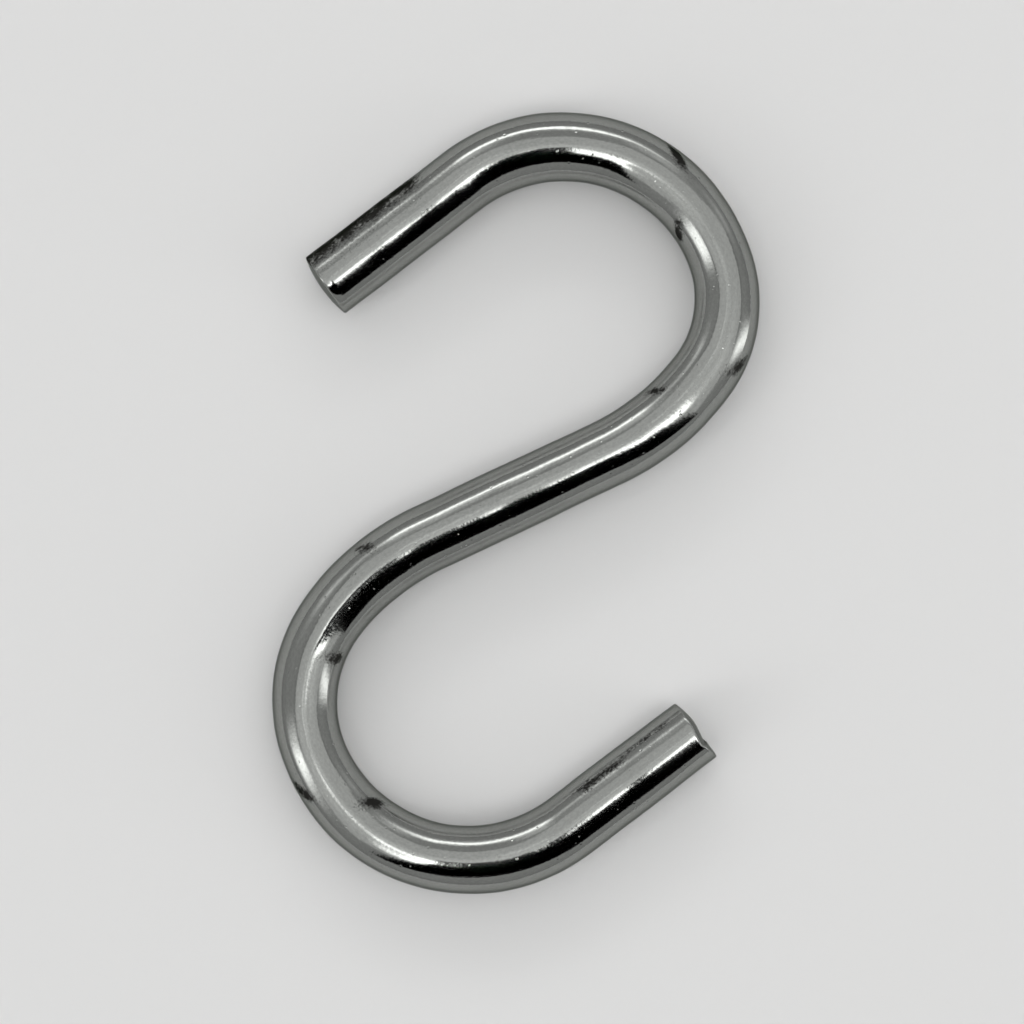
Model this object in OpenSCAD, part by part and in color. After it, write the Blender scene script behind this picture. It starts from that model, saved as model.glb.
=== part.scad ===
// S hook bent from one length of round wire.
// It lies flat: the line through both crowns runs along Y, the wire's underside
// touches z = 0, and the middle of the outline stands over the origin.

/* [Wire] */
// Diameter of the wire
wire_d = 6; // [3:0.5:8]
// Length of the straight shank between the two hooks
shank_l = 17.5; // [10:0.5:30]
// Straight length of the upper leg, to the top of its cut end
upper_leg_l = 15.5; // [6:0.25:18]
// Straight length of the lower leg, to the top of its cut end
lower_leg_l = 14.25; // [6:0.25:18]

/* [Bends] */
// Inside radius of the easy bend where a hook leaves the shank
neck_in_r = 19; // [12:0.5:30]
// Angle of the easy bend at the neck
neck_turn = 28; // [15:1:40]
// Inside radius of the tight bend at the back of the upper hook
upper_back_in_r = 8; // [5:0.5:14]
// Inside radius of the tight bend at the back of the lower hook
lower_back_in_r = 9.5; // [5:0.5:14]
// Angle of the tight bend at the back
back_turn = 54; // [40:1:65]
// Inside radius of the crown, where the load hangs
crown_in_r = 11.5; // [8:0.5:16]
// Angle of the crown
crown_turn = 110; // [90:1:125]

/* [Cut ends] */
// Height of the low dome that cropping leaves on an end
end_dome = 0.4; // [0.1:0.1:1]
// Radius of the rolled rim round an end
end_round = 0.2; // [0.1:0.1:1]

/* [Hidden] */
$fn = 96;
plate_grey = [0.66, 0.68, 0.68];
wire_r = wire_d / 2;
crown_r = crown_in_r + wire_r;

// The neck and the crown are a hair thinner than what they join,
// and reach a little way into it, so that the runs make one solid
seam_inset = 0.005;
seam_reach = 0.1;

// Points traced along each run to find the outline's extent
trace_steps = 64;

// A run of wire is [radius of its centre line, angle turned to the left],
// and a straight run is [length, 0]
function hook_runs(back_in_r, leg_l) = [
    [neck_in_r + wire_r, neck_turn],
    [back_in_r + wire_r, back_turn],
    [crown_r, crown_turn],
    [leg_l, 0],
];
NECK = 0;
BACK = 1;
CROWN = 2;
LEG = 3;

// A pose is [x, y, heading]: this one is where a share of a run ends
function along(pose, run, share) =
    let (size = run[0], turn = run[1] * share, heading = pose[2])
    turn == 0
        ? [pose[0] + size * share * cos(heading), pose[1] + size * share * sin(heading), heading]
        : [pose[0] + size * (sin(heading + turn) - sin(heading)),
           pose[1] - size * (cos(heading + turn) - cos(heading)),
           heading + turn];

// The pose at the start of each run, and after the last
function poses(runs, pose, i = 0) =
    i == len(runs) ? [pose] : concat([pose], poses(runs, along(pose, runs[i], 1), i + 1));

// The poses of a hook that leaves the shank's end at a heading
function hook_poses(runs, heading) =
    poses(runs, [shank_l / 2 * cos(heading), shank_l / 2 * sin(heading), heading]);

// The middle of the crown's arc
function crown_centre(runs, heading) =
    let (pose = hook_poses(runs, heading)[CROWN])
    [pose[0] - crown_r * sin(pose[2]), pose[1] + crown_r * cos(pose[2])];

// Points along a hook's centre line
function trace(runs, heading) =
    let (starts = hook_poses(runs, heading))
    [for (i = [NECK : LEG], step = [0 : trace_steps]) along(starts[i], runs[i], step / trace_steps)];

upper_runs = hook_runs(upper_back_in_r, upper_leg_l);
lower_runs = hook_runs(lower_back_in_r, lower_leg_l);

// The heading of the shank that lays the line through both crowns along Y
crown_line = crown_centre(upper_runs, 0) - crown_centre(lower_runs, 180);
upper_heading = 90 - atan2(crown_line[1], crown_line[0]);
lower_heading = upper_heading + 180;

// The middle of the outline, seen from the middle of the shank
outline = concat(trace(upper_runs, upper_heading), trace(lower_runs, lower_heading));
outline_x = [for (point = outline) point[0]];
outline_y = [for (point = outline) point[1]];
middle = [min(outline_x) + max(outline_x), min(outline_y) + max(outline_y)] / 2;

// Puts a run where it starts, on its heading
module at_pose(pose) {
    translate([pose[0], pose[1], 0])
        rotate([0, 0, pose[2]])
            children();
}

// A bend that leaves the origin along +X and turns to the left
module bend(run, inset = 0) {
    reach = inset == 0 ? 0 : seam_reach / run[0] * 180 / PI;
    translate([0, run[0], 0])
        rotate([0, 0, -90 - reach])
            rotate_extrude(angle = run[1] + 2 * reach)
                translate([run[0], 0])
                    circle(r = wire_r - inset);
}

// Half the section along a leg: straight side, rolled rim and domed end.
// The rim's arc meets the side and the dome without a corner.
module leg_profile(leg_l) {
    dome_r = (wire_r ^ 2 + end_dome ^ 2) / (2 * end_dome);
    dome_y = leg_l - dome_r;
    rim_x = wire_r - end_round;
    rim_y = dome_y + sqrt((dome_r - end_round) ^ 2 - rim_x ^ 2);
    square([wire_r, rim_y]);
    translate([rim_x, rim_y])
        circle(r = end_round);
    intersection() {
        translate([0, dome_y])
            circle(r = dome_r);
        polygon([[0, dome_y], [rim_x * dome_r / (rim_y - dome_y), leg_l], [0, leg_l]]);
        square([wire_r, leg_l]);
    }
}

// A straight leg along +X, out to its cropped end
module leg(leg_l) {
    rotate([90, 0, 90])
        rotate_extrude()
            leg_profile(leg_l);
}

// The bends and the leg of one hook
module hook_end(runs, heading) {
    starts = hook_poses(runs, heading);
    at_pose(starts[NECK])
        bend(runs[NECK], seam_inset);
    at_pose(starts[BACK])
        bend(runs[BACK]);
    at_pose(starts[CROWN])
        bend(runs[CROWN], seam_inset);
    at_pose(starts[LEG])
        leg(runs[LEG][0]);
}

// The whole hook: the shank and a hook at each end of it
module hook() {
    color(plate_grey)
        translate([-middle[0], -middle[1], wire_r]) {
            rotate([0, 90, upper_heading])
                cylinder(r = wire_r, h = shank_l, center = true);
            hook_end(upper_runs, upper_heading);
            hook_end(lower_runs, lower_heading);
        }
}

hook();
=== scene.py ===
"""Looks of a plated wire S hook.

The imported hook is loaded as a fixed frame. A finer plated wire is swept over it,
and a pale floor, a light tent and a camera straight above make up the studio.
"""

import math

import bpy
import numpy as np
from bpy.props import FloatProperty, FloatVectorProperty, PointerProperty
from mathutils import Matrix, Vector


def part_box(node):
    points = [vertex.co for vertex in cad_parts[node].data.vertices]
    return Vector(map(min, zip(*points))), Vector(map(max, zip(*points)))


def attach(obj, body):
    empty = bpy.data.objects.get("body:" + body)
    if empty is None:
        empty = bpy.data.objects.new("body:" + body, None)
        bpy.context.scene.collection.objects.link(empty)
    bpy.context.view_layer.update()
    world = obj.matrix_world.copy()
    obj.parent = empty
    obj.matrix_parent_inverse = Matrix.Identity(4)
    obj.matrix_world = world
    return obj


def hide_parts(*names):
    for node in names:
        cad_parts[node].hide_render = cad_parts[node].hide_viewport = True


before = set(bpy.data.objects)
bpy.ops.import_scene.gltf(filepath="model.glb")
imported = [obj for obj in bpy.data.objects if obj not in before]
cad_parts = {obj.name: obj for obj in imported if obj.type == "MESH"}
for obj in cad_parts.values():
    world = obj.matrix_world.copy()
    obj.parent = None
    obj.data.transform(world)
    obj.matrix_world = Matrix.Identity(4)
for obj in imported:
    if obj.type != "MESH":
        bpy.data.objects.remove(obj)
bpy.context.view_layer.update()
HOOK_LOW, HOOK_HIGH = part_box("hook")

bl_info = {
    "name": "Plated S Hook",
    "version": (1, 0, 0),
    "blender": (4, 5, 0),
    "location": "View3D > Sidebar > S Hook",
    "description": "Sweeps a plated wire S hook and sets it in a light tent",
    "category": "Object",
}

MM = 0.001
MICRON = 0.000001

# Mesh resolution of the wire, whose rings stand closer for a short way beside its ends
RING_STEP = 0.3 * MM
CLOSE_L = 1.5 * MM
CLOSE_RINGS = 15
SIDES = 96
DOME_RINGS = 8
RIM_RINGS = 6

# Mesh resolution of the light tent, in degrees, and of the floor
TENT_STEP = 0.5
FLOOR_SIDES = 128

# How far the camera sees, in radii of the studio
SIGHT = 10


def length(name, description, default):
    """A size property in metres."""
    return FloatProperty(
        name=name, description=description, default=default, min=0.0, unit="LENGTH", precision=5
    )


def angle(name, description, degrees):
    """An angle property, given here in degrees."""
    return FloatProperty(
        name=name, description=description, default=math.radians(degrees), subtype="ANGLE"
    )


def share(name, description, default):
    """A property from 0 to 1."""
    return FloatProperty(
        name=name, description=description, default=default, min=0.0, max=1.0, subtype="FACTOR"
    )


def level(name, description, default):
    """A brightness property, where 1 is white."""
    return FloatProperty(name=name, description=description, default=default, min=0.0)


def colour(name, description, default):
    """A linear colour property."""
    return FloatVectorProperty(
        name=name, description=description, default=default, size=3, min=0.0, max=1.0, subtype="COLOR"
    )


class HookSizes(bpy.types.PropertyGroup):
    """Sizes of the bent wire, the same as the solid's, and the marks of its making"""

    wire_d: length("Wire", "Diameter of the wire", HOOK_HIGH.z - HOOK_LOW.z)
    shank_l: length("Shank", "Length of the straight shank", 17.5 * MM)
    upper_leg_l: length("Upper leg", "Straight length of the upper leg", 15.5 * MM)
    lower_leg_l: length("Lower leg", "Straight length of the lower leg", 14.25 * MM)
    neck_in_r: length("Neck radius", "Inside radius of the easy bend at the shank", 19 * MM)
    neck_turn: angle("Neck turn", "Angle of the easy bend at the shank", 28)
    upper_back_in_r: length("Upper back radius", "Inside radius of the upper tight bend", 8 * MM)
    lower_back_in_r: length("Lower back radius", "Inside radius of the lower tight bend", 9.5 * MM)
    back_turn: angle("Back turn", "Angle of the tight bends", 54)
    crown_in_r: length("Crown radius", "Inside radius of the crowns", 11.5 * MM)
    crown_turn: angle("Crown turn", "Angle of the crowns", 110)
    end_dome: length("End dome", "Height of the low dome on a cropped end", 0.4 * MM)
    end_round: length("End rim", "Radius of the rolled rim round an end", 0.2 * MM)
    end_slant: length("Upper end slant", "How far the upper end leans over its radius", 0.105 * MM)
    end_sink: length("Lower end sink", "How far the lower end sinks towards its lip", 0.32 * MM)
    end_lip: length("Shear lip", "Height of the step up to the lower end's lip", 0.16 * MM)
    end_roll: length("Upper end roll", "How far the blade pressed the upper end's top down", 0.5 * MM)
    bend_thinning: share("Bend thinning", "How much the bending squeezed the wire", 0.065)
    bend_spread: length("Thinning length", "How far the squeezed stretch reaches", 9 * MM)
    middle_lift: length("Middle lift", "How far the middle of the wire stands off the floor", 0.38 * MM)
    wave_h: length("Wave", "Height of the long waves that drawing and bending left", 14 * MICRON)


class PlatingLook(bpy.types.PropertyGroup):
    """Finish of the plated wire"""

    plate_colour: colour("Plating", "Colour of the clean plating", (0.296, 0.304, 0.290))
    edge_colour: colour("Plating edge", "Tint of the plating seen aslant", (0.36, 0.37, 0.36))
    # This colour and the roughness after next serve the painted dark reflections of the tent's corner
    # seams
    painted_reflection_colour: colour("Painted_reflection", "Colour of the dark marks", (0.019, 0.0185, 0.017))
    plate_roughness: share("Plating roughness", "Roughness of the clean plating", 0.085)
    painted_reflection_roughness: share("Tarnish roughness", "Roughness of the dark marks", 0.32)
    cut_roughness: share("Cut roughness", "Roughness of the cropped ends", 0.26)
    peel_size: length("Peel size", "Width of the plating's fine ripples", 0.30 * MM)
    peel_h: length("Peel height", "Height of the plating's fine ripples", 4.3 * MICRON)
    line_size: length("Line width", "Width of the drawing lines", 0.30 * MM)
    line_h: length("Line height", "Height of the drawing lines", 5 * MICRON)
    pit_size: length("Pit spacing", "Distance between the small pits", 0.8 * MM)
    pit_h: length("Pit depth", "Depth of the small pits", 11 * MICRON)


class StudioLook(bpy.types.PropertyGroup):
    """Floor, light tent and camera"""

    floor_colour: colour("Floor", "Colour of the floor", (0.82, 0.82, 0.815))
    backdrop_colour: colour("Backdrop", "Colour behind the floor", (0.706, 0.706, 0.702))
    studio_r: length("Studio radius", "Radius of the floor and the tent", 20.0)
    roof_glow: level("Roof", "Brightness of the tent's roof", 0.93)
    wall_glow: level("Walls", "Brightness of the tent's walls", 0.51)
    lamp_glow: level("Lamps", "Extra brightness where a lamp stands behind a wall", 2.9)
    band_glow: level("Band", "Extra brightness of the strip high on the far wall", 3.3)
    hem_glow: level("Hem", "Extra brightness round the front opening", 4.4)
    view_turn: angle("View turn", "Turn of the camera about the vertical", 13.80)
    view_w: length("View width", "Width of the view at the wire's middle", 89.63 * MM)
    view_x: length("View middle X", "Sideways place of the view's middle", 0.217 * MM)
    view_y: FloatProperty(
        name="View middle Y", description="Lengthways place of the view's middle",
        default=-0.801 * MM, unit="LENGTH", precision=5,
    )
    lens: FloatProperty(
        name="Lens", description="Focal length of the camera in millimetres", default=120.0, min=1.0
    )


def ease(value, low, high):
    """Rises smoothly from 0 at low to 1 at high: 3 t squared less 2 t cubed."""
    t = np.clip((value - low) / (high - low), 0.0, 1.0)
    return t * t * (3.0 - 2.0 * t)


def rise_fall(value, rise, fall):
    """Eases up from 0 to 1 between the two places of rise, and down to 0 between those of fall."""
    return ease(value, *rise) * (1 - ease(value, *fall))


def hump(value, middle, width):
    """A bell of height 1: e to the minus square of the distance from the middle over the width."""
    return np.exp(-(((value - middle) / width) ** 2))


def fill_mesh(name, vertices, quads=(), triangles=()):
    """A mesh from whole arrays of vertices and of the corner numbers of quads and triangles, shaded
    smooth."""
    quads = np.asarray(quads, np.int32).reshape(-1, 4)
    triangles = np.asarray(triangles, np.int32).reshape(-1, 3)
    corners = np.concatenate([quads.ravel(), triangles.ravel()])
    sizes = np.concatenate([np.full(len(quads), 4), np.full(len(triangles), 3)])
    starts = np.concatenate([[0], np.cumsum(sizes)[:-1]]).astype(np.int32)
    mesh = bpy.data.meshes.new(name)
    mesh.vertices.add(len(vertices))
    mesh.vertices.foreach_set("co", vertices.astype(np.float32).ravel())
    mesh.loops.add(len(corners))
    mesh.loops.foreach_set("vertex_index", corners)
    mesh.polygons.add(len(sizes))
    mesh.polygons.foreach_set("loop_start", starts)
    mesh.polygons.foreach_set("use_smooth", np.ones(len(sizes), bool))
    mesh.update(calc_edges=True)
    if mesh.validate():
        raise RuntimeError(f"the mesh {name} has faulty faces")
    return mesh


def grid_quads(rows, columns):
    """Corner numbers of the quads of a grid of points whose last column meets the first."""
    row = np.arange(rows - 1)[:, None] * columns
    column = np.arange(columns)[None, :]
    beside = (column + 1) % columns
    return np.stack(
        [row + column, row + beside, row + columns + beside, row + columns + column], axis=-1
    ).reshape(-1, 4)


def put_attribute(mesh, name, kind, field, values):
    """Stores a value for each vertex of a mesh."""
    made = mesh.attributes.new(name, kind, "POINT")
    made.data.foreach_set(field, np.asarray(values, np.float32).ravel())


def put_object(name, mesh, material):
    """An object at the origin with this mesh and material."""
    mesh.materials.append(material)
    made = bpy.data.objects.new(name, mesh)
    bpy.context.scene.collection.objects.link(made)
    return made


def new_material(name):
    """An empty node material, and the tree that holds its nodes."""
    material = bpy.data.materials.new(name)
    material.use_nodes = True
    material.node_tree.nodes.clear()
    return material, material.node_tree


def add_node(tree, kind, inputs=None, **settings):
    """Adds a shader node. An input is a socket to link or a value to set."""
    made = tree.nodes.new("ShaderNode" + kind)
    for key, value in settings.items():
        setattr(made, key, value)
    for key, value in (inputs or {}).items():
        if isinstance(value, bpy.types.NodeSocket):
            tree.links.new(value, made.inputs[key])
        else:
            made.inputs[key].default_value = value
    return made


def show_surface(tree, shader):
    """Makes a shader node the surface of its material."""
    add_node(tree, "OutputMaterial", {"Surface": shader.outputs[0]})


def add_math(tree, operation, first, second):
    """The socket of a sum, product or the like of two sockets or numbers."""
    return add_node(tree, "Math", {0: first, 1: second}, operation=operation).outputs[0]


def mix_colours(tree, part, first, second):
    """The socket of a colour between two, which are sockets 6 and 7 of the Mix node."""
    return add_node(tree, "Mix", {0: part, 6: first, 7: second}, data_type="RGBA").outputs[2]


def mix_values(tree, part, first, second):
    """The socket of a number between two, which are sockets 2 and 3 of the Mix node."""
    return add_node(tree, "Mix", {0: part, 2: first, 3: second}, data_type="FLOAT").outputs[0]


def ramp(tree, value, low, high, at_low, at_high):
    """The socket of a number that eases from one level at low to another at high."""
    limits = {"From Min": low, "From Max": high, "To Min": at_low, "To Max": at_high}
    made = add_node(tree, "MapRange", {"Value": value, **limits}, interpolation_type="SMOOTHSTEP")
    return made.outputs[0]


# Numbers of some runs of the wire, counted from the upper tip

UPPER_CROWN, UPPER_BACK, LOWER_CROWN = 1, 2, 7


def wire_runs(sizes):
    """The wire from the upper tip to the lower one: a row of length and turn to the left for each run."""
    wire_r = sizes.wire_d / 2
    bends = [
        (sizes.crown_in_r, sizes.crown_turn),
        (sizes.upper_back_in_r, sizes.back_turn),
        (sizes.neck_in_r, sizes.neck_turn),
        (sizes.neck_in_r, sizes.neck_turn),
        (sizes.lower_back_in_r, sizes.back_turn),
        (sizes.crown_in_r, sizes.crown_turn),
    ]
    runs = [((in_r + wire_r) * turn, turn) for in_r, turn in bends]
    upper = [(run_l, -turn) for run_l, turn in runs[:3]]
    return np.array(
        [(sizes.upper_leg_l, 0.0), *upper, (sizes.shank_l, 0.0), *runs[3:], (sizes.lower_leg_l, 0.0)]
    )


def run_starts(runs):
    """The distance from the upper tip to the start of each run."""
    return np.concatenate([[0.0], np.cumsum(runs[:-1, 0])])


def chord(run_l, turn, heading):
    """The straight way across an arc: its length times sin(turn / 2) / (turn / 2), half a turn on."""
    reach = run_l * np.sinc(turn / 2 / np.pi)
    return np.stack([reach * np.cos(heading + turn / 2), reach * np.sin(heading + turn / 2)], axis=-1)


def left_of(heading):
    """The unit vector to the left of a heading."""
    return np.stack([-np.sin(heading), np.cos(heading)], axis=-1)


def centre_line(runs, stations):
    """The point and heading at each station, a distance along the wire from the upper tip.
    Each run starts where the chords of the runs before it lead, and a station adds the chord
    of its own share of the run."""
    run_l, turn = runs.T
    start = run_starts(runs)
    heading = np.concatenate([[0.0], np.cumsum(turn)[:-1]])
    ways = np.cumsum(chord(run_l, turn, heading), axis=0)
    point = np.concatenate([np.zeros((1, 2)), ways[:-1]])
    run = np.clip(np.searchsorted(start, stations, side="right") - 1, 0, len(runs) - 1)
    part = (stations - start[run]) / run_l[run]
    return (
        point[run] + chord(run_l[run] * part, turn[run] * part, heading[run]),
        heading[run] + turn[run] * part,
    )


def lay_hook(runs, stations):
    """The centre line as the hook lies: the line through both crowns runs along Y, and the
    middle of the outline is over the middle of the solid's box."""
    points, headings = centre_line(runs, stations)
    crowns = [UPPER_CROWN, LOWER_CROWN]
    crown_l, crown_turn = runs[crowns].T
    top, top_heading = centre_line(runs, run_starts(runs)[crowns] + crown_l / 2)
    centres = top + (crown_l / crown_turn)[:, None] * left_of(top_heading)
    line = centres[0] - centres[1]
    turn = np.pi / 2 - np.arctan2(line[1], line[0])
    turned = points @ np.array([[np.cos(turn), np.sin(turn)], [-np.sin(turn), np.cos(turn)]])
    middle = (turned.min(axis=0) + turned.max(axis=0)) / 2
    box_middle = (np.array(HOOK_LOW) + np.array(HOOK_HIGH))[:2] / 2
    return turned - middle + box_middle, headings + turn


def end_profile(sizes):
    """A cropped end from its pole to its straight side, as distances from the pole and shares of
    the wire's radius: an arc of the low dome, then an arc of the rolled rim that meets it."""
    wire_r = sizes.wire_d / 2
    dome_r = (wire_r**2 + sizes.end_dome**2) / (2 * sizes.end_dome)
    rim_x = wire_r - sizes.end_round
    meet = math.asin(rim_x / (dome_r - sizes.end_round))
    rim_depth = dome_r - (dome_r - sizes.end_round) * math.cos(meet)
    dome = np.linspace(0.0, meet, DOME_RINGS + 1)
    rim = np.linspace(meet, np.pi / 2, RIM_RINGS + 1)[1:]
    depth = np.concatenate([dome_r * (1 - np.cos(dome)), rim_depth - sizes.end_round * np.cos(rim)])
    reach = np.concatenate([dome_r * np.sin(dome), rim_x + sizes.end_round * np.sin(rim)])
    return depth, reach / wire_r


def wire_stations(sizes, total):
    """Where the rings stand along the wire, and each ring's share of the full radius: those of an
    end's profile, then close ones, then even ones, and the same back to the other end."""
    depth, fill = end_profile(sizes)
    inner = depth[-1] + CLOSE_L
    close = np.linspace(depth[-1], inner, CLOSE_RINGS + 1)[1:-1]
    even = np.linspace(inner, total - inner, round((total - 2 * inner) / RING_STEP) + 1)
    body = np.concatenate([close, even, total - close[::-1]])
    stations = np.concatenate([depth, body, total - depth[::-1]])
    return stations, np.concatenate([fill, np.ones(len(body)), fill[::-1]])


# Long waves of the wire: length along it, lobes round it, share of the height and start

WAVES = np.array([
    [27 * MM, 2, 1.5, 0.4],
    [13 * MM, 2, 1.0, 2.1],
    [7.1 * MM, 1, 0.6, 5.0],
    [4.3 * MM, 3, 0.25, 3.3],
    [2.9 * MM, 2, 0.12, 1.2],
])


def long_waves(stations, around, height):
    """Waves on the surface: a sum of cosines, each with its own length along the wire and its own
    lobes round it."""
    wave_l, lobes, part, start = WAVES.T[:, :, None, None]
    phase = 2 * np.pi * stations[:, None] / wave_l + lobes * around + start
    return height * (part * np.cos(phase)).sum(axis=0)


# Between which places the wire rises from the upper tip, and comes down again to the lower hook

LIFT = (3 * MM, 25 * MM)
DROP = (86 * MM, 97 * MM)


def wire_lift(stations, height):
    """Height of the wire over its flat place: it eases up along the upper leg and crown, and down
    at the lower neck."""
    return height * rise_fall(stations, LIFT, DROP)


# Marks of the cropping, as shares of the radius towards the hook's outer side, and their lengths

SINK_FROM, LIP_FROM, LIP_TO = -0.40, 0.42, 0.47
LIP_RISE = 0.24 * MM
CROP_FADE = 1.6 * MM
CROP_KEPT = 0.7 * MM


def crop_marks(stations, total, across, sizes):
    """How far cropping moved each point along the wire. The upper end leans in step with the
    distance across it. The lower end sinks from its inner side on, steps up to a lip and rises to
    its outer side. Both fade out along the leg."""
    at_start = 1 - ease(stations, CROP_KEPT, CROP_FADE)[:, None]
    at_end = ease(stations, total - CROP_FADE, total - CROP_KEPT)[:, None]
    sunk = sizes.end_sink * ease(-across, SINK_FROM, LIP_FROM)
    lip = sizes.end_lip * ease(-across, LIP_FROM, LIP_TO) + LIP_RISE * ease(-across, LIP_TO, 1.0)
    return at_start * sizes.end_slant * across + at_end * (lip - sunk)


# The pressed top of the upper end: its length, and between which shares of the radius it sets in,
# upwards and towards the hook's inner side

ROLL_L = 1.25 * MM
ROLL_UP = (0.0, 0.6)
ROLL_IN = (-0.35, 0.5)


def blade_roll(stations, across, up, height):
    """How far the cropping blade pressed the top of the upper end down: it grows with the square of
    the way to the end, and eases in from the flanks to the inner side of the top."""
    near = np.clip(1 - stations / ROLL_L, 0.0, 1.0)[:, None]
    return height * near**2 * ease(up, *ROLL_UP) * ease(-across, *ROLL_IN)


# Painted dark reflections of the tent's corner seams on the wire, as marks: middle along it, side (1
# left,
# -1 right, of the way from the upper tip), height up the flank as a share of the radius, slant along the
# wire for each share up, and strength

MARKS = np.array([
    [34.1 * MM, 1, 0.62, 3.4 * MM, 1.3],
    [38.9 * MM, -1, 0.58, -3.0 * MM, 1.3],
    [51.7 * MM, 1, 0.64, 3.2 * MM, 1.15],
    [57.7 * MM, -1, 0.66, -3.2 * MM, 0.85],
    [86.8 * MM, -1, 0.66, -2.0 * MM, 0.85],
    [96.0 * MM, 1, 0.70, 0.5 * MM, 1.15],
    [107.7 * MM, -1, 0.58, 3.0 * MM, 1.3],
    [112.4 * MM, 1, 0.70, -3.2 * MM, 1.3],
])
MARK_W = 0.74 * MM
MARK_REACH = 0.23

# Mottled stretches of painted dark reflection of the tent's corner seams near the tips: start and end
# along the wire, side, height up the flank, reach up and down it, and strength

STRETCHES = np.array([
    [-2.4 * MM, 13.8 * MM, 1, 0.45, 0.40, 0.97],
    [133.4 * MM, 141.0 * MM, 1, 0.73, 0.12, 0.82],
    [137.5 * MM, 146.0 * MM, 1, 0.66, 0.08, 0.66],
])
STRETCH_FADE = 2.5 * MM

# Marks and stretches ease in from the top of the wire to their side of it, as shares of the radius

SIDE_FADE = (0.0, 0.3)


def painted_reflection_mask(stations, across, up):
    """How much painted dark reflection of the tent's seams each point gets: the largest of the bells of
    the slanting marks, and of the mottled stretches, which are bells round the wire between eased ends
    along it."""
    flat = stations[:, None]
    middle, side, height, slant, strength = MARKS.T[:, :, None, None]
    marks = hump(flat - slant * (up - height), middle, MARK_W) * hump(up, height, MARK_REACH)
    marks = strength * marks * ease(across * side, *SIDE_FADE)
    start, end, side, height, reach, strength = STRETCHES.T[:, :, None, None]
    inside = rise_fall(flat, (start, start + STRETCH_FADE), (end - STRETCH_FADE, end))
    stretches = strength * inside * hump(up, height, reach) * ease(across * side, *SIDE_FADE)
    return np.maximum(marks.max(axis=0), stretches.max(axis=0))


def wire_rings(sizes, runs, stations, around, across, up):
    """The points of the rings, carried along the hook's centre line. They are squeezed in the plane
    of the hook where the crown runs into the back, flat where they rest, lifted along the middle,
    and shifted and pressed down where the wire was cropped."""
    wire_r = sizes.wire_d / 2
    points, headings = lay_hook(runs, stations)
    squeezed = run_starts(runs)[[UPPER_BACK, LOWER_CROWN]]
    thin = 1 - sizes.bend_thinning * hump(stations[:, None], squeezed, sizes.bend_spread).sum(axis=1)
    swell = 1 + long_waves(stations, around, sizes.wave_h) / wire_r
    out_x = wire_r * thin[:, None] * across * swell
    out_z = np.maximum(wire_r * up * swell, -wire_r) - blade_roll(stations, across, up, sizes.end_roll)
    moved = crop_marks(stations, runs[:, 0].sum(), across, sizes)

    ahead = np.stack([np.cos(headings), np.sin(headings)], axis=-1)
    sideways = out_x[..., None] * left_of(headings)[:, None]
    flat = points[:, None] + sideways + moved[..., None] * ahead[:, None]
    middle_z = HOOK_LOW.z + wire_r + wire_lift(stations, sizes.middle_lift)
    return np.concatenate([flat, (middle_z[:, None] + out_z)[..., None]], axis=-1)


def poled(rows):
    """Rows of rings in mesh order: the first and last ring, each all in one point, become one pole."""
    return np.concatenate([rows[1:-1].reshape(-1, *rows.shape[2:]), rows[[0, -1], 0]])


def pole_fans(last):
    """Corner numbers of the triangles from the end rings to their poles. The first ring starts at 0,
    the last one at the number given, and the two poles follow it."""
    first_pole = last + SIDES
    ring = np.arange(SIDES)
    after = (ring + 1) % SIDES
    return np.concatenate([
        np.stack([np.full(SIDES, first_pole), after, ring], axis=-1),
        np.stack([np.full(SIDES, first_pole + 1), last + ring, last + after], axis=-1),
    ])


# Shares of the radius between which a cut face turns into the plated side

CUT_RIM = (0.86, 0.99)


def wire_mesh(sizes):
    """The plated wire: rings joined by quads, with a pole at each end. Each vertex keeps its place on
    the unbent wire in millimetres, its share of painted dark seam reflection, and its share in a cut
    face."""
    wire_r = sizes.wire_d / 2
    runs = wire_runs(sizes)
    stations, fill = wire_stations(sizes, runs[:, 0].sum())
    around = np.arange(SIDES) * 2 * np.pi / SIDES
    across = fill[:, None] * np.cos(around)
    up = fill[:, None] * np.sin(around)
    rings = wire_rings(sizes, runs, stations, around, across, up)
    # The first and the last ring become poles
    rows = len(stations) - 2
    fans = pole_fans((rows - 1) * SIDES)
    mesh = fill_mesh("plated_wire", poled(rings), grid_quads(rows, SIDES), fans)

    unbent = np.stack(np.broadcast_arrays(stations[:, None], across * wire_r, up * wire_r), -1) / MM
    cut = np.repeat(1 - ease(fill, *CUT_RIM), SIDES).reshape(-1, SIDES)
    # Painted dark reflections of the tent's corner seams, kept off the cut faces
    painted_reflection = painted_reflection_mask(stations, across, up) * (1 - cut)
    put_attribute(mesh, "unbent", "FLOAT_VECTOR", "vector", poled(unbent))
    put_attribute(mesh, "painted_reflection", "FLOAT", "value", poled(painted_reflection))
    put_attribute(mesh, "cut", "FLOAT", "value", poled(cut))
    return mesh


# Ripples on the unbent wire: strength, size in millimetres, stretch along the wire and detail. Mottle
# and blots break up the painted seam reflections, grain and clouds vary the plating's tone, and dulling
# its roughness

MOTTLE = (1.4, 0.19, 1.2, 3.0)
BLOTS = (1.8, 0.9, 1.5, 2.0)
GRAIN = (0.30, 0.20, 1.6, 2.0)
CLOUDS = (0.20, 2.6, 3.0, 3.0)
DULLING = (0.05, 1.1, 4.0, 4.0)

# The relief takes its strength and size from the look

PEEL_STRETCH, LINE_STRETCH, RELIEF_DETAIL = 1.0, 40.0, 2.0

# Where the mottled painted seam reflection starts to show and shows most, and how much of the plating it
# hides there

PAINTED_REFLECTION_FROM, PAINTED_REFLECTION_TO, PAINTED_REFLECTION_MOST = 0.20, 0.88, 0.96

# Pits, as shares of their spacing: bottom and rim, and the share of the places that have none

PIT_BOTTOM, PIT_RIM, PIT_NONE = 0.03, 0.17, 0.25


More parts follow.
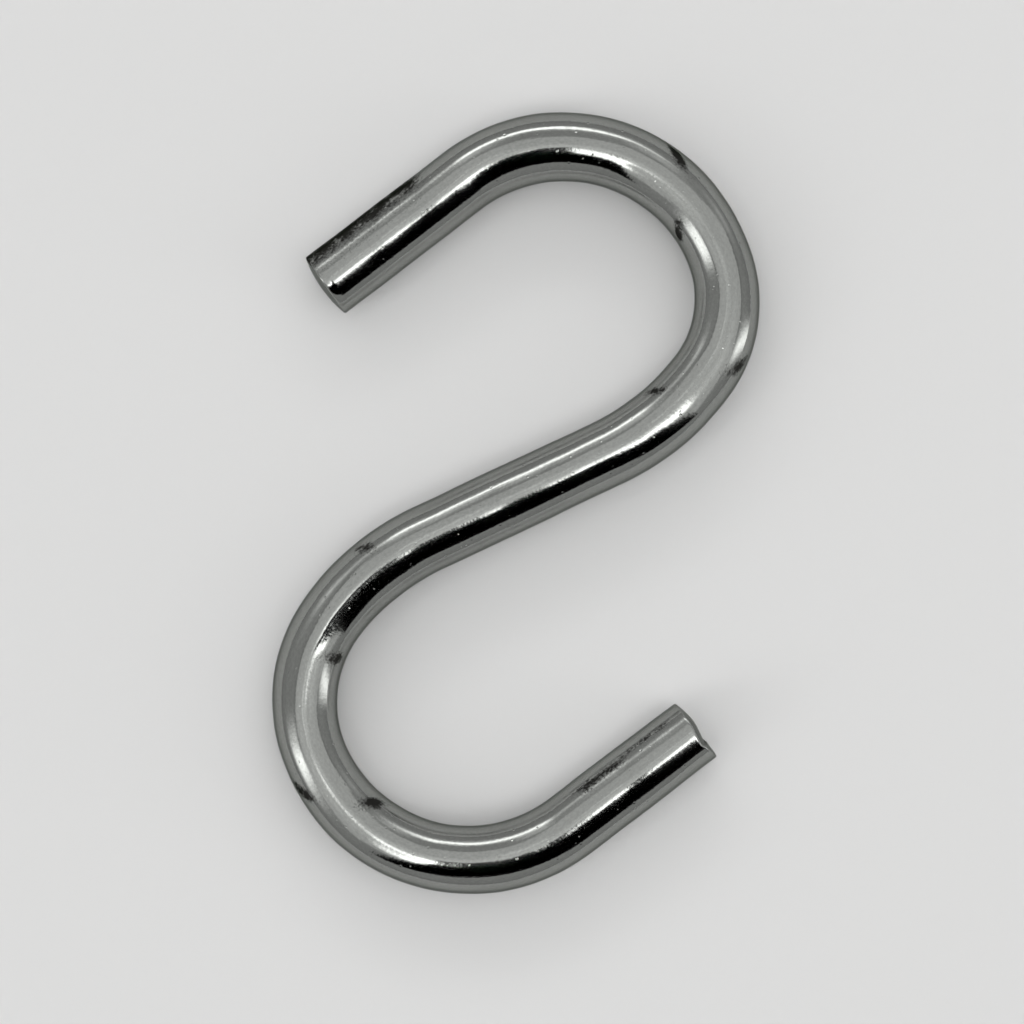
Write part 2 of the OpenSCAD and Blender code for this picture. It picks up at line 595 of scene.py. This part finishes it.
def ripple(tree, place, strength, size, stretch, detail):
    """Noise about zero on the unbent wire, times a strength. Its ripples have a size in millimetres
    and are drawn out along the wire."""
    per_mm = (1 / (size * stretch), 1 / size, 1 / size)
    scaled = add_node(tree, "VectorMath", {0: place, 1: per_mm}, operation="MULTIPLY").outputs[0]
    noise = add_node(tree, "TexNoise", {"Vector": scaled, "Scale": 1.0, "Detail": detail}).outputs[0]
    return add_math(tree, "MULTIPLY", add_math(tree, "SUBTRACT", noise, 0.5), strength)


def pits(tree, place, spacing, depth):
    """Small round hollows on the unbent wire, in most cells of a Voronoi pattern: each eases from its
    rim to its bottom with the distance from the cell's own point."""
    cells = add_node(tree, "TexVoronoi", {"Vector": place, "Scale": 1 / spacing, "Randomness": 1.0})
    hollow = ramp(tree, cells.outputs["Distance"], PIT_BOTTOM, PIT_RIM, 1.0, 0.0)
    chance = add_node(tree, "SeparateColor", {"Color": cells.outputs["Color"]}).outputs[0]
    kept = add_math(tree, "GREATER_THAN", chance, PIT_NONE)
    return add_math(tree, "MULTIPLY", add_math(tree, "MULTIPLY", hollow, kept), -depth)


def plated_wire_material(look):
    """Bright plating over drawn wire: fine ripples, drawing lines and pits in the bump, faint clouds
    in the colour, painted dark mottled reflections of the tent's corner seams where the mesh says so, and
    duller cropped ends."""
    material, tree = new_material("plated_wire")
    place = add_node(tree, "Attribute", attribute_name="unbent").outputs["Vector"]
    painted_reflection = add_node(tree, "Attribute", attribute_name="painted_reflection").outputs["Fac"]
    cut = add_node(tree, "Attribute", attribute_name="cut").outputs["Fac"]

    # Painted dark reflections of the tent's corner seams, blotted and mottled
    blots = add_math(tree, "ADD", ripple(tree, place, *BLOTS), 1.0)
    blotted = add_math(tree, "MULTIPLY", painted_reflection, blots)
    mottled = add_math(tree, "ADD", blotted, ripple(tree, place, *MOTTLE))
    dark = ramp(tree, mottled, PAINTED_REFLECTION_FROM, PAINTED_REFLECTION_TO, 0.0, PAINTED_REFLECTION_MOST)

    clouds = add_math(tree, "ADD", ripple(tree, place, *GRAIN), ripple(tree, place, *CLOUDS))
    clouded = add_node(
        tree, "HueSaturation",
        {"Value": add_math(tree, "ADD", clouds, 1.0), "Color": (*look.plate_colour, 1.0)},
    ).outputs[0]
    # The painted seam reflection darkens the plating's colour towards the dark colour
    tinted = mix_colours(tree, dark, clouded, (*look.painted_reflection_colour, 1.0))

    clean = mix_values(tree, cut, look.plate_roughness, look.cut_roughness)
    dulled = mix_values(tree, dark, clean, look.painted_reflection_roughness)
    patchy = add_math(tree, "ADD", dulled, ripple(tree, place, *DULLING))

    peel = ripple(tree, place, look.peel_h / MICRON, look.peel_size / MM, PEEL_STRETCH, RELIEF_DETAIL)
    lines = ripple(tree, place, look.line_h / MICRON, look.line_size / MM, LINE_STRETCH, RELIEF_DETAIL)
    sunk = pits(tree, place, look.pit_size / MM, look.pit_h / MICRON)
    relief = add_math(tree, "ADD", add_math(tree, "ADD", peel, lines), sunk)
    bump = add_node(tree, "Bump", {"Height": relief, "Distance": MICRON}).outputs[0]

    shader = add_node(
        tree, "BsdfPrincipled",
        {
            "Base Color": tinted, "Metallic": 1.0, "Roughness": patchy, "Normal": bump,
            "Specular Tint": (*look.edge_colour, 1.0),
        },
    )
    show_surface(tree, shader)
    return material


def floor_material(look):
    """A plain matt floor."""
    material, tree = new_material("studio_floor")
    show_surface(tree, add_node(tree, "BsdfDiffuse", {"Color": (*look.floor_colour, 1.0)}))
    return material


def tent_material():
    """Cloth that glows as much as the mesh says."""
    material, tree = new_material("tent_cloth")
    glow = add_node(tree, "Attribute", attribute_name="glow").outputs["Fac"]
    show_surface(tree, add_node(tree, "Emission", {"Strength": glow}))
    material.cycles.emission_sampling = "NONE"
    return material


# The light tent on a flat chart: degrees from overhead, to the right and to the top of the view.
# A pair is where something starts to ease in or out and where it is done. The band and the left
# lamp go by the compass, in degrees from the right by way of the top, and by degrees from overhead.

HORIZON = 90.0
ROOF_LEFT, ROOF_RIGHT, ROOF_TOP, ROOF_FRONT = -31.0, 46.0, 27.0, -38.0
ROOF_FADE = 6.0
WALL_DIP, WALL_FALL = 0.15, (62.0, HORIZON)
SEAM_W, SEAM_DEPTH, SEAM_ENDS = 2.0, 0.45, (26.0, 34.0)
BAND_SLOPE, BAND_W = 60.5, 5.0
BAND_RISE, BAND_FALL = (46.0, 86.0), (120.0, 130.0)
BAND_TAIL, TAIL_FALL = 0.17, (140.0, 156.0)
LEFT_LAMP, LEFT_LAMP_W = 205.0, 9.0
LEFT_LAMP_RISE, LEFT_LAMP_FALL = (34.0, 46.0), (62.0, 82.0)
RIGHT_LAMP, RIGHT_LAMP_W = -17.0, 7.5
RIGHT_LAMP_RISE, RIGHT_LAMP_PART = (42.0, 66.0), 0.85
OPENING_TOP = np.array([[3.4, -8.8], [-0.3, -5.0], [-2.0, -20.5], [8.0, -30.0], [9.8, -17.5]])
OPENING_FOOT = np.array([[-2.0, -20.5], [-35.0, -60.0], [46.0, -54.0], [58.0, -49.5], [10.0, -14.2]])
OPENING_EDGE = (-0.8, 0.8)
HEM_MIDDLE, HEM_W = 2.8, 2.8
HEM_RISE, HEM_FALL = (4.0, 15.0), (26.0, 40.0)

# Faint lighter patches on the walls: place on the chart, size and brightness

PATCHES = np.array([
    [-24.0, 42.0, 7.0, 0.57],
    [25.0, 42.0, 7.0, 0.46],
    [-54.0, 31.0, 9.0, 0.51],
    [58.0, 40.0, 9.0, 0.28],
    [0.0, -3.0, 7.0, 0.34],
    [24.0, -10.0, 12.0, 0.28],
    [-18.0, -12.0, 10.0, 0.23],
])


def beyond(spot, outline):
    """Degrees outside a convex outline on the chart, negative inside: the largest distance beyond
    any of its sides."""
    side = np.roll(outline, -1, axis=0) - outline
    outward = np.stack([side[:, 1], -side[:, 0]], axis=-1) / np.linalg.norm(side, axis=1)[:, None]
    return ((spot[..., None, :] - outline) * outward).sum(axis=-1).max(axis=-1)


def roof_share(right, top):
    """1 on the roof, easing to 0 past each of its four sides."""
    wide = rise_fall(right, (ROOF_LEFT - ROOF_FADE, ROOF_LEFT), (ROOF_RIGHT, ROOF_RIGHT + ROOF_FADE))
    deep = rise_fall(top, (ROOF_FRONT - ROOF_FADE, ROOF_FRONT), (ROOF_TOP, ROOF_TOP + ROOF_FADE))
    return wide * deep


def seam_share(right, top):
    """Bells across the seams at the roof's left and right side, easing out towards their ends."""
    left_seam = hump(right, ROOF_LEFT - ROOF_FADE / 2, SEAM_W)
    right_seam = hump(right, ROOF_RIGHT + ROOF_FADE / 2, SEAM_W)
    return (left_seam + right_seam) * (1 - ease(np.abs(top), *SEAM_ENDS))


def band_share(azimuth, slope):
    """A bell across the strip high on the far wall, which eases in along it, out to a faint tail,
    and then out altogether."""
    faded = (1 - BAND_TAIL) * ease(azimuth, *BAND_FALL) + BAND_TAIL * ease(azimuth, *TAIL_FALL)
    return hump(slope, BAND_SLOPE, BAND_W) * ease(azimuth, *BAND_RISE) * (1 - faded)


def lamp_share(azimuth, slope, right, top):
    """Bells where a lamp stands behind the left wall and a weaker one behind the right."""
    left_lamp = hump(azimuth, LEFT_LAMP, LEFT_LAMP_W) * rise_fall(slope, LEFT_LAMP_RISE, LEFT_LAMP_FALL)
    right_lamp = hump(top, RIGHT_LAMP, RIGHT_LAMP_W) * ease(right, *RIGHT_LAMP_RISE)
    return left_lamp + RIGHT_LAMP_PART * right_lamp


def patch_glow(spot):
    """The sum of the bells of the faint patches."""
    size, brightness = PATCHES[:, 2], PATCHES[:, 3]
    away = np.linalg.norm(spot[..., None, :] - PATCHES[:, :2], axis=-1)
    return (brightness * hump(away, 0.0, size)).sum(axis=-1)


def tent_glow(azimuth, slope, look):
    """Brightness of the tent's cloth: a bright roof eases into the walls over darker seams, a band, two
    lamps and faint patches add to it, and the front opening is black with a bright hem."""
    compass = np.radians(azimuth)
    spot = slope[..., None] * np.stack([np.cos(compass), np.sin(compass)], axis=-1)
    right, top = spot[..., 0], spot[..., 1]
    walls = look.wall_glow * (1 - WALL_DIP * ease(slope, *WALL_FALL))
    glow = walls + (look.roof_glow - walls) * roof_share(right, top)
    glow = glow * (1 - SEAM_DEPTH * seam_share(right, top))
    glow = glow + look.band_glow * band_share(azimuth, slope)
    glow = glow + look.lamp_glow * lamp_share(azimuth, slope, right, top) + patch_glow(spot)

    outside = np.minimum(beyond(spot, OPENING_TOP), beyond(spot, OPENING_FOOT))
    hem = hump(outside, HEM_MIDDLE, HEM_W) * rise_fall(slope, HEM_RISE, HEM_FALL)
    return (glow + look.hem_glow * hem) * ease(outside, *OPENING_EDGE)


def tent_mesh(look):
    """A half dome over the floor, with the brightness of the cloth at each vertex."""
    slopes = np.linspace(0.0, HORIZON, round(HORIZON / TENT_STEP) + 1)
    slope, azimuth = np.meshgrid(slopes, np.arange(0.0, 360.0, TENT_STEP), indexing="ij")
    down = np.radians(slope)
    turned = np.radians(azimuth) + look.view_turn
    level_r = np.sin(down)
    dome = np.stack([level_r * np.cos(turned), level_r * np.sin(turned), np.cos(down)], axis=-1)
    inward = grid_quads(*slope.shape)[:, ::-1]
    mesh = fill_mesh("light_tent", look.studio_r * dome.reshape(-1, 3), quads=inward)
    put_attribute(mesh, "glow", "FLOAT", "value", tent_glow(azimuth, slope, look))
    return mesh


def floor_mesh(look):
    """A round floor just under the hook: a fan of triangles about its middle."""
    around = np.arange(FLOOR_SIDES) * 2 * np.pi / FLOOR_SIDES
    rim = np.stack([np.cos(around), np.sin(around), np.zeros(FLOOR_SIDES)], axis=-1)
    vertices = np.concatenate([look.studio_r * rim, np.zeros((1, 3))])
    vertices[:, 2] = HOOK_LOW.z
    ring = np.arange(FLOOR_SIDES)
    fan = np.stack([ring, (ring + 1) % FLOOR_SIDES, np.full(FLOOR_SIDES, FLOOR_SIDES)], axis=-1)
    return fill_mesh("studio_floor", vertices, triangles=fan)


def put_camera(look, aim_height):
    """A camera that looks straight down, as far up as its lens needs for the view's width."""
    camera = bpy.data.cameras.new("camera")
    camera.lens = look.lens
    far = look.view_w * camera.lens / camera.sensor_width
    camera.clip_end = SIGHT * look.studio_r
    made = bpy.data.objects.new("camera", camera)
    made.location = (look.view_x, look.view_y, aim_height + far)
    made.rotation_euler = (0.0, 0.0, look.view_turn)
    bpy.context.scene.collection.objects.link(made)
    bpy.context.scene.camera = made


def set_backdrop(look):
    """A plain pale world behind the floor."""
    world = bpy.data.worlds.new("backdrop")
    world.use_nodes = True
    world.node_tree.nodes["Background"].inputs["Color"].default_value = (*look.backdrop_colour, 1.0)
    bpy.context.scene.world = world


class HOOK_OT_build_wire(bpy.types.Operator):
    """Sweeps the plated wire over the solid hook"""

    bl_idname = "hook.build_wire"
    bl_label = "Plated Wire"

    def execute(self, context):
        mesh = wire_mesh(context.scene.hook_sizes)
        wire = put_object("plated_wire", mesh, plated_wire_material(context.scene.hook_plating))
        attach(wire, "root")
        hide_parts("hook")
        # The plating is toned for one bounce of the tent light: mirrored twice it turns out too dark
        wire.visible_glossy = False
        return {"FINISHED"}


class HOOK_OT_build_studio(bpy.types.Operator):
    """Sets up the floor, the light tent, the backdrop and the camera"""

    bl_idname = "hook.build_studio"
    bl_label = "Studio"

    def execute(self, context):
        look = context.scene.hook_studio
        floor = put_object("studio_floor", floor_mesh(look), floor_material(look))
        tent = put_object("light_tent", tent_mesh(look), tent_material())
        tent.visible_camera = False
        set_backdrop(look)
        put_camera(look, (HOOK_LOW.z + HOOK_HIGH.z) / 2)
        context.scene.view_settings.view_transform = "Standard"
        return {"FINISHED"}


class HOOK_PT_panel(bpy.types.Panel):
    """Lists the hook's sizes, looks and building steps"""

    bl_idname = "HOOK_PT_panel"
    bl_label = "S Hook"
    bl_space_type = "VIEW_3D"
    bl_region_type = "UI"
    bl_category = "S Hook"

    def draw(self, context):
        layout = self.layout
        for operator in OPERATORS:
            layout.operator(operator.bl_idname)
        for group in (context.scene.hook_sizes, context.scene.hook_plating, context.scene.hook_studio):
            box = layout.box()
            for key in group.__annotations__:
                box.prop(group, key)


OPERATORS = (HOOK_OT_build_wire, HOOK_OT_build_studio)
GROUPS = {"hook_sizes": HookSizes, "hook_plating": PlatingLook, "hook_studio": StudioLook}


def register():
    """Makes the classes known and hangs the property groups on the scene."""
    for made in (*GROUPS.values(), *OPERATORS, HOOK_PT_panel):
        bpy.utils.register_class(made)
    for key, group in GROUPS.items():
        setattr(bpy.types.Scene, key, PointerProperty(type=group))


def unregister():
    """Takes away what register added."""
    for key in GROUPS:
        delattr(bpy.types.Scene, key)
    for made in (HOOK_PT_panel, *OPERATORS, *GROUPS.values()):
        bpy.utils.unregister_class(made)


def main():
    """Builds the wire and the studio."""
    register()
    bpy.ops.hook.build_wire()
    bpy.ops.hook.build_studio()


if __name__ == "__main__":
    main()
